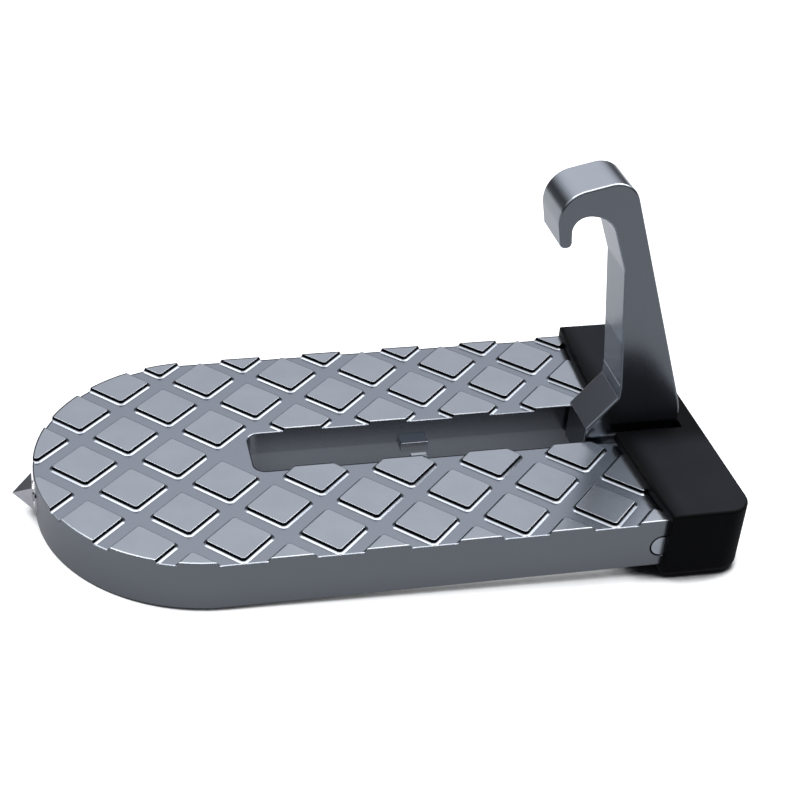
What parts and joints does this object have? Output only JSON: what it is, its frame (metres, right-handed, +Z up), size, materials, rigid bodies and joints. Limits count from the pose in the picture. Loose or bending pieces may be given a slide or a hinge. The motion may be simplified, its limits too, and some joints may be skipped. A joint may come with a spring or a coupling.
{
  "type": "car door latch step",
  "caption": "Fold-up step pedal with a hinged hook that hangs on a car door latch striker, a rubber boot and a glass hammer tip.",
  "frame": {"origin": "middle of the overall length and width, at the sole of the rubber boot", "axes": "+X from the hammer nose towards the boot, +Z up through the tread, Y along the hinge pin"},
  "size_m": [0.1745, 0.0872, 0.0887],
  "materials": {
    "tread_metal": "satin cast alloy",
    "hook_metal": "satin cast alloy",
    "steel": "plain steel",
    "boot_rubber": "smooth matt black",
    "tip_steel": "hardened and ground"
  },
  "bodies": {
    "pedal": {"pedal_casting": "tread_metal", "hinge_pin": "steel", "near_hinge_washer": "steel", "far_hinge_washer": "steel", "rubber_boot": "boot_rubber", "boot_screws": "steel", "hammer_tip": "tip_steel"},
    "hook": {"hook_arm": "hook_metal"}
  },
  "joints": [
    {"name": "hook_fold", "type": "hinge", "parent": "pedal", "child": "hook", "pos_m": [0.06548, 0, 0.0091], "axis": [0, -1, 0], "range_deg": [0, 83.1]}
  ]
}
